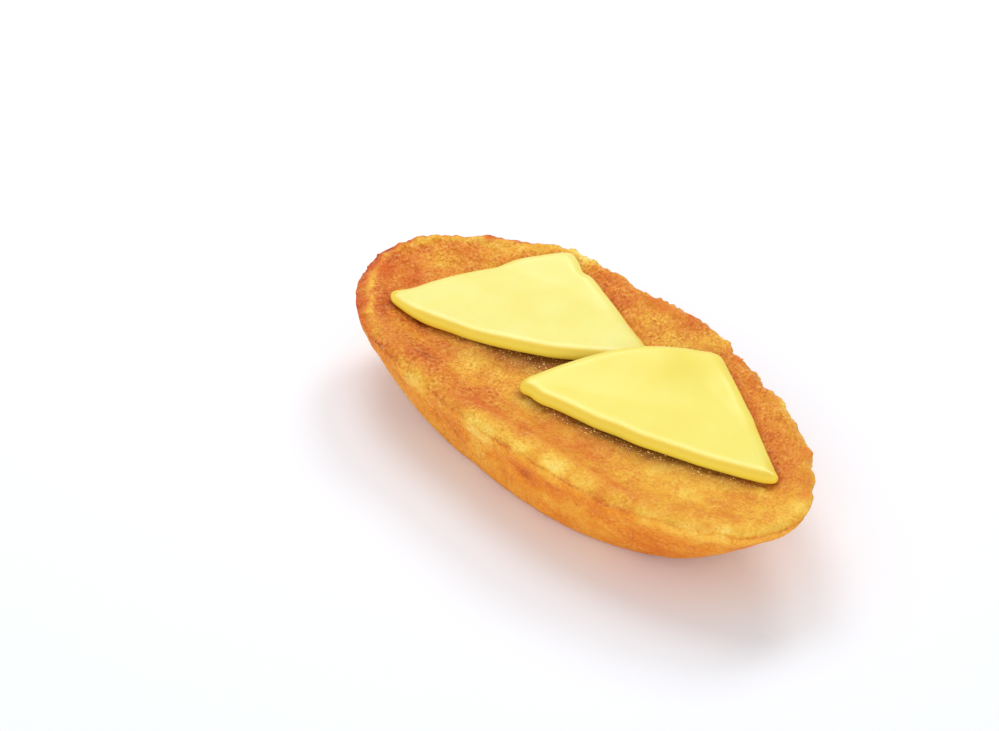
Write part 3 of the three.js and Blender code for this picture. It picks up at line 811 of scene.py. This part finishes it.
class Nodes:
    """Adds nodes to a material's tree; each method returns an output socket."""

    def __init__(self, name):
        self.material = bpy.data.materials.new(name)
        self.material.use_nodes = True
        self.tree = self.material.node_tree
        self.shader = self.tree.nodes["Principled BSDF"]
        self.place = self.add("ShaderNodeTexCoord").outputs["Object"]

    def add(self, kind):
        return self.tree.nodes.new(kind)

    def link(self, value, socket):
        """Links an output socket to socket, or sets socket to a constant."""
        if isinstance(value, bpy.types.NodeSocket):
            self.tree.links.new(value, socket)
        else:
            socket.default_value = value

    def attribute(self, name):
        node = self.add("ShaderNodeAttribute")
        node.attribute_name = name
        return node.outputs["Fac"]

    def noise(self, size, detail=2.0, roughness=0.5):
        """Noise whose grains are about size millimetres wide."""
        node = self.add("ShaderNodeTexNoise")
        self.link(self.place, node.inputs["Vector"])
        node.inputs["Scale"].default_value = 1 / (size * MM)
        node.inputs["Detail"].default_value = detail
        node.inputs["Roughness"].default_value = roughness
        return node.outputs["Fac"]

    def cells(self, size):
        """Distance to the middle of the nearest of some rounded grains, about size millimetres apart."""
        node = self.add("ShaderNodeTexVoronoi")
        self.link(self.place, node.inputs["Vector"])
        node.inputs["Scale"].default_value = 1 / (size * MM)
        return node.outputs["Distance"]

    def spread(self, value, low, high, to_low=0.0, to_high=1.0):
        """value's range from low to high, spread over to_low..to_high and held outside it."""
        node = self.add("ShaderNodeMapRange")
        for name, number in (("From Min", low), ("From Max", high), ("To Min", to_low), ("To Max", to_high)):
            node.inputs[name].default_value = number
        self.link(value, node.inputs["Value"])
        return node.outputs["Result"]

    def math(self, operation, a, b):
        node = self.add("ShaderNodeMath")
        node.operation = operation
        self.link(a, node.inputs[0])
        self.link(b, node.inputs[1])
        return node.outputs[0]

    def plus(self, a, b):
        return self.math("ADD", a, b)

    def times(self, a, b):
        return self.math("MULTIPLY", a, b)

    def mix(self, share, a, b):
        node = self.add("ShaderNodeMix")
        node.data_type = "RGBA"
        self.link(share, node.inputs[MIX_SHARE])
        self.link(a, node.inputs[MIX_A])
        self.link(b, node.inputs[MIX_B])
        return node.outputs[MIX_RESULT]

    def ramp(self, value, stops):
        """The colour at value on a ramp with these stops: (position, colour)."""
        node = self.add("ShaderNodeValToRGB")
        elements = node.color_ramp.elements
        while len(elements) < len(stops):
            elements.new(RAMP_MIDDLE)
        for element, (position, _) in zip(elements, stops):
            element.position = position
        for element, (_, shade) in zip(elements, stops):
            element.color = shade
        self.link(value, node.inputs["Fac"])
        return node.outputs["Color"]

    def bump(self, height, depth, strength):
        """A bump whose height of 0..1 stands for depth millimetres."""
        node = self.add("ShaderNodeBump")
        node.inputs["Distance"].default_value = depth * MM
        node.inputs["Strength"].default_value = strength
        self.link(height, node.inputs["Height"])
        return node.outputs["Normal"]

    def set(self, **values):
        """Sets or links the shader's inputs, whose names have _ for a space."""
        for name, value in values.items():
            self.link(value, self.shader.inputs[name.replace("_", " ")])


# ---- materials ----
FACE_SHADES = [
    (0.0, colour(255, 228, 128)),
    (0.2, colour(250, 206, 86)),
    (0.4, colour(241, 176, 56)),
    (0.55, colour(230, 148, 46)),
    (0.7, colour(222, 124, 38)),
    (0.85, colour(206, 98, 30)),
    (1.0, colour(158, 68, 20)),
]
CRUST_SHADES = [
    (0.0, colour(254, 212, 104)),
    (0.3, colour(248, 180, 60)),
    (0.55, colour(240, 146, 38)),
    (0.75, colour(224, 116, 30)),
    (1.0, colour(166, 74, 20)),
]
RED_SHADE = colour(220, 88, 24)
PALE_FLECK = colour(255, 224, 140)
DARK_FLECK = colour(140, 62, 20)
GREASE_AND_SHADOW_SHADE = colour(106, 62, 18)
GLINT_SHADE = colour(255, 226, 150)
PIT_SHADE = colour(168, 80, 24)

# What noise takes: (grain size in mm, detail, roughness).
FINE_NOISE = (0.7, 1)
BLOTCH_NOISE = (5, 3)
FLECK_NOISE = (1.2, 3, 0.8)
PATCHY_NOISE = (4.5, 1)
GLINT_NOISE = (0.5, 0)
PIT_NOISE = (0.8, 1)
GRAIN_SIZE = 0.95

# What spread takes: (from low, from high, to low, to high), or the first two for 0..1.
PATCHY_GRAIN = (0.38, 0.62, 0.6, 1.1)
GRAIN_TOAST = (0.1, 0.65, -0.13, 0.07)
FINE_TOAST = (0.3, 0.7, -0.08, 0.08)
BLOTCH_TOAST = (0.3, 0.7, -0.09, 0.09)
RED_FLECKS = (0.4, 0.55, 0.3, 1.0)
PALE_FLECKS = (0.5, 0.7, 0.0, 0.36)
DARK_FLECKS = (0.5, 0.3, 0.0, 0.5)
GLINTS = (0.7, 0.76)
GLINTS_IN_GREASE_AND_SHADOW = (0.35, 0.6)
PITS = (0.32, 0.26)
CRUST_RELIEF = (0.0, 1.0, 1.0, 0.4)  # the bump is weaker on the crust
FINE_DULLNESS = (0.3, 0.7, 0.62, 0.45)

GREASE_AND_SHADOW_SHARE, PIT_SHARE = 0.8, 0.4
CRUST_DULLNESS = 0.25  # on top of the face's
BREAD_BUMP = (0.25, 0.7)  # depth in mm and strength
BREAD_SPECULAR = 0.2
BREAD_SCATTER, BREAD_SCATTER_REACH = 0.08, (1.5, 0.7, 0.25)  # mm of red, green and blue light


def bread_colour(n, crust, grain, fine, grainy):
    """Toasted shades with flecks, red places, grease and painted shadow beside the slices with painted
    glints, and dark pits.
    """
    toast_and_light = n.plus(n.attribute("toast_and_painted_light"), n.times(grainy, n.spread(grain, *GRAIN_TOAST)))
    toast_and_light = n.plus(toast_and_light, n.times(grainy, n.spread(fine, *FINE_TOAST)))
    toast_and_light = n.plus(toast_and_light, n.spread(n.noise(*BLOTCH_NOISE), *BLOTCH_TOAST))
    base = n.mix(crust, n.ramp(toast_and_light, FACE_SHADES), n.ramp(toast_and_light, CRUST_SHADES))
    fleck = n.noise(*FLECK_NOISE)
    base = n.mix(n.times(n.attribute("red"), n.spread(fleck, *RED_FLECKS)), base, RED_SHADE)
    base = n.mix(n.times(grainy, n.spread(fleck, *PALE_FLECKS)), base, PALE_FLECK)
    base = n.mix(n.times(grainy, n.spread(fleck, *DARK_FLECKS)), base, DARK_FLECK)
    greasy_and_shaded = n.attribute("grease_and_shadow")
    # painted shadow: the grease value darkens the bread beside the slices
    base = n.mix(n.times(greasy_and_shaded, GREASE_AND_SHADOW_SHARE), base, GREASE_AND_SHADOW_SHADE)
    # painted glints: pale dots that stand in for highlights in the greasy band
    glints = n.times(n.spread(n.noise(*GLINT_NOISE), *GLINTS), n.spread(greasy_and_shaded, *GLINTS_IN_GREASE_AND_SHADOW))
    base = n.mix(glints, base, GLINT_SHADE)
    pits = n.spread(n.noise(*PIT_NOISE), *PITS)
    return n.mix(n.times(pits, PIT_SHARE), base, PIT_SHADE)


def bread_material():
    n = Nodes("toasted_bread")
    crust = n.attribute("crust")
    grain = n.cells(GRAIN_SIZE)
    fine = n.noise(*FINE_NOISE)
    grainy = n.times(n.attribute("coarse"), n.spread(n.noise(*PATCHY_NOISE), *PATCHY_GRAIN))
    relief = n.times(n.plus(fine, n.times(grain, -1.0)), n.spread(crust, *CRUST_RELIEF))
    dullness = n.plus(n.spread(fine, *FINE_DULLNESS), n.times(crust, CRUST_DULLNESS))
    base = bread_colour(n, crust, grain, fine, grainy)
    n.set(Base_Color=base, Roughness=dullness, Normal=n.bump(relief, *BREAD_BUMP))
    n.set(Specular_IOR_Level=BREAD_SPECULAR, Subsurface_Weight=BREAD_SCATTER, Subsurface_Scale=MM)
    n.shader.inputs["Subsurface Radius"].default_value = BREAD_SCATTER_REACH
    return n.material


# Cheese: what noise, spread and bump take, as for the bread.
CLOUD_NOISE, CLOUDS = (14, 2), (0.35, 0.65)
CHEESE_SKIN, CHEESE_BUMP = (2.5, 2), (0.06, 0.5)
CHEESE_ROUGHNESS = (0.0, 0.4, 0.42, 0.27)
CHEESE_SCATTER, CHEESE_SCATTER_REACH = 0.3, (2.5, 1.8, 0.6)

# The rounded edge gets a painted shade, a deeper yellow, mostly on its long side, and painted light, a
# lighter yellow, at its widest line and below.
PAINTED_SHADE_SPREAD, PAINTED_SHADE_YELLOW = (0.3, 0.65, 0.0, 0.9), colour(238, 204, 64)
PAINTED_LIGHT_LOW_EDGE, PAINTED_LIGHT_YELLOW = (0.75, 1.0), colour(255, 230, 80)


def cheese_material(name, top, pale):
    """Cheese with pale clouds on its top, a deeper yellow painted shade in its edge and painted light at its
    widest line and below.
    """
    n = Nodes(name)
    over_edge = n.attribute("over_edge")
    base = n.mix(n.spread(n.noise(*CLOUD_NOISE), *CLOUDS), top, pale)
    # painted shade: a deeper yellow on the rounded edge, mostly along the long side
    painted_edge_shade = n.times(n.spread(over_edge, *PAINTED_SHADE_SPREAD), n.attribute("painted_edge_shade"))
    base = n.mix(painted_edge_shade, base, PAINTED_SHADE_YELLOW)
    # painted light: a lighter yellow at the edge's widest line and below, where the lamps leave it dim
    base = n.mix(n.spread(over_edge, *PAINTED_LIGHT_LOW_EDGE), base, PAINTED_LIGHT_YELLOW)
    skin = n.bump(n.noise(*CHEESE_SKIN), *CHEESE_BUMP)
    n.set(Base_Color=base, Roughness=n.spread(over_edge, *CHEESE_ROUGHNESS), Normal=skin)
    n.set(Subsurface_Weight=CHEESE_SCATTER, Subsurface_Scale=MM)
    n.shader.inputs["Subsurface Radius"].default_value = CHEESE_SCATTER_REACH
    return n.material


# ---- the pieces ----
def box_middle(points):
    return (points.min(0) + points.max(0)) / 2


def make_piece(name, points, faces, attributes, material, node):
    """A smooth mesh with a value of each attribute at each point, in place of one node's solid."""
    mesh = bpy.data.meshes.new(name)
    all_faces = [face for part in faces for face in part.tolist()]
    mesh.from_pydata(((points + to_row_frame) * MM).tolist(), [], all_faces)
    mesh.shade_smooth()
    for attribute_name, values in attributes.items():
        attribute = mesh.attributes.new(attribute_name, "FLOAT", "POINT")
        attribute.data.foreach_set("value", values.astype(np.float32))
    mesh.materials.append(material)
    piece = bpy.data.objects.new(name, mesh)
    bpy.context.scene.collection.objects.link(piece)
    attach(piece, "root")
    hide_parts(node)


# The roll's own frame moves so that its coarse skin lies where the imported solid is.
solid_low, solid_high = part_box("bun_half")
solid_points = roll_skin(CAD_COLUMNS, CAD_ROWS, CAD_RINGS, 1, False)[0]
to_row_frame = np.array((solid_low + solid_high) / 2) / MM - box_middle(solid_points)
to_row_frame[2] = 0


def make_roll():
    points, faces, inside, levels = roll_skin(FACE_COLUMNS, FACE_ROWS, SIDE_RINGS, BASE_RINGS, True)
    x, y = points[:, 0], points[:, 1]
    attributes = {
        # toast with spots of painted light and shade, and grease with painted shadow beside the slices
        "toast_and_painted_light": toast_and_painted_light(points, inside, levels),
        "grease_and_shadow": grease_and_shadow(x, y) * (levels == 0),
        "crust": smooth(0, CRUST_WHOLE, levels),
        "red": redness(points, inside, levels),
        "coarse": coarseness(x, y),
    }
    make_piece("toasted_roll", points, faces, attributes, bread_material(), "bun_half")


def make_slice(name, node, shape, lifted, top, pale):
    """A slice whose top has two shades, top and the clouds' pale."""
    points, faces, over_edge = slice_skin(shape, lifted)
    # how much painted shade the edge gets at each point
    painted_edge_shade = painted_shade_share(shape, points[:, 0], points[:, 1])
    attributes = {"over_edge": over_edge, "painted_edge_shade": painted_edge_shade}
    make_piece(name, points, faces, attributes, cheese_material(name, top, pale), node)


REAR_TOP, REAR_PALE = colour(241, 229, 123), colour(243, 234, 137)
FRONT_TOP, FRONT_PALE = colour(243, 227, 102), colour(244, 231, 114)

make_roll()
make_slice("rear_cheese", "cheese_rear", REAR_SLICE, False, REAR_TOP, REAR_PALE)
make_slice("front_cheese", "cheese_front", FRONT_SLICE, True, FRONT_TOP, FRONT_PALE)


# ---- floor, light and camera, in metres ----
FLOOR_HALF = 3
FLOOR_SHADE = colour(248, 250, 255)
FLOOR_ROUGHNESS, FLOOR_SPECULAR = 0.9, 0.2


def make_floor():
    mesh = bpy.data.meshes.new("floor")
    corners = [(-FLOOR_HALF, -FLOOR_HALF, 0), (FLOOR_HALF, -FLOOR_HALF, 0)]
    corners += [(FLOOR_HALF, FLOOR_HALF, 0), (-FLOOR_HALF, FLOOR_HALF, 0)]
    mesh.from_pydata(corners, [], [(0, 1, 2, 3)])
    nodes = Nodes("floor")
    nodes.set(Base_Color=FLOOR_SHADE, Roughness=FLOOR_ROUGHNESS, Specular_IOR_Level=FLOOR_SPECULAR)
    mesh.materials.append(nodes.material)
    floor = bpy.data.objects.new("floor", mesh)
    bpy.context.scene.collection.objects.link(floor)


def direction(azimuth, elevation):
    """The direction to a place seen at that azimuth and elevation, in degrees; azimuth 0 is towards -Y."""
    a, e = math.radians(azimuth), math.radians(elevation)
    return Vector((math.sin(a) * math.cos(e), -math.cos(a) * math.cos(e), math.sin(e)))


def make_light(name, azimuth, elevation, distance, size, power, mirrored):
    """A round light that faces the middle; mirrored says whether it shows in shiny surfaces."""
    light = bpy.data.lights.new(name, "AREA")
    light.shape = "DISK"
    light.size = size
    light.energy = power
    lamp = bpy.data.objects.new(name, light)
    lamp.visible_glossy = mirrored
    lamp.location = direction(azimuth, elevation) * distance
    lamp.rotation_mode = "QUATERNION"
    lamp.rotation_quaternion = (-lamp.location).to_track_quat("-Z", "Y")
    bpy.context.scene.collection.objects.link(lamp)


make_floor()
make_light("key", azimuth=205, elevation=45, distance=0.9, size=0.3, power=1.85, mirrored=False)
make_light("ridge", azimuth=247, elevation=60, distance=0.9, size=0.46, power=2.1, mirrored=True)
make_light("fill", azimuth=40, elevation=25, distance=1.2, size=0.9, power=4.1, mirrored=False)

SKY_COLOUR, SKY_STRENGTH = (0.97, 0.985, 1, 1), 0.63

world = bpy.data.worlds.new("studio")
world.use_nodes = True
sky = world.node_tree.nodes["Background"]
sky.inputs["Color"].default_value = SKY_COLOUR
sky.inputs["Strength"].default_value = SKY_STRENGTH
bpy.context.scene.world = world
bpy.context.scene.view_settings.view_transform = "Standard"

# The camera sees the cut face as the photograph does. In the roll's own frame and in millimetres, it stands
# VIEW_DISTANCE from VIEW_POINT, and looks AIM_LEFT to the left of it and AIM_UP above it.
VIEW_AZIMUTH, VIEW_ELEVATION, VIEW_ROLL = 49.01, 36.5, -0.79
VIEW_POINT = np.array([7.97, -5.47, RIM_HEIGHT])
VIEW_DISTANCE = 797
AIM_LEFT, AIM_UP = 24.4, 6.07
LENS, SENSOR_WIDTH = 100, 36

camera_data = bpy.data.cameras.new("camera")
camera_data.lens = LENS
camera_data.sensor_width = SENSOR_WIDTH
camera = bpy.data.objects.new("camera", camera_data)
back = direction(VIEW_AZIMUTH, VIEW_ELEVATION)
right = Vector((0, 0, 1)).cross(back).normalized()
up = back.cross(right)
view_point = Vector((VIEW_POINT + to_row_frame) * MM)
camera.location = view_point + back * VIEW_DISTANCE * MM
aim = view_point + (up * AIM_UP - right * AIM_LEFT) * MM
camera.rotation_mode = "QUATERNION"
camera.rotation_quaternion = (aim - camera.location).to_track_quat("-Z", "Y")
camera.rotation_quaternion @= Quaternion((0, 0, 1), math.radians(VIEW_ROLL))
bpy.context.scene.collection.objects.link(camera)
bpy.context.scene.camera = camera
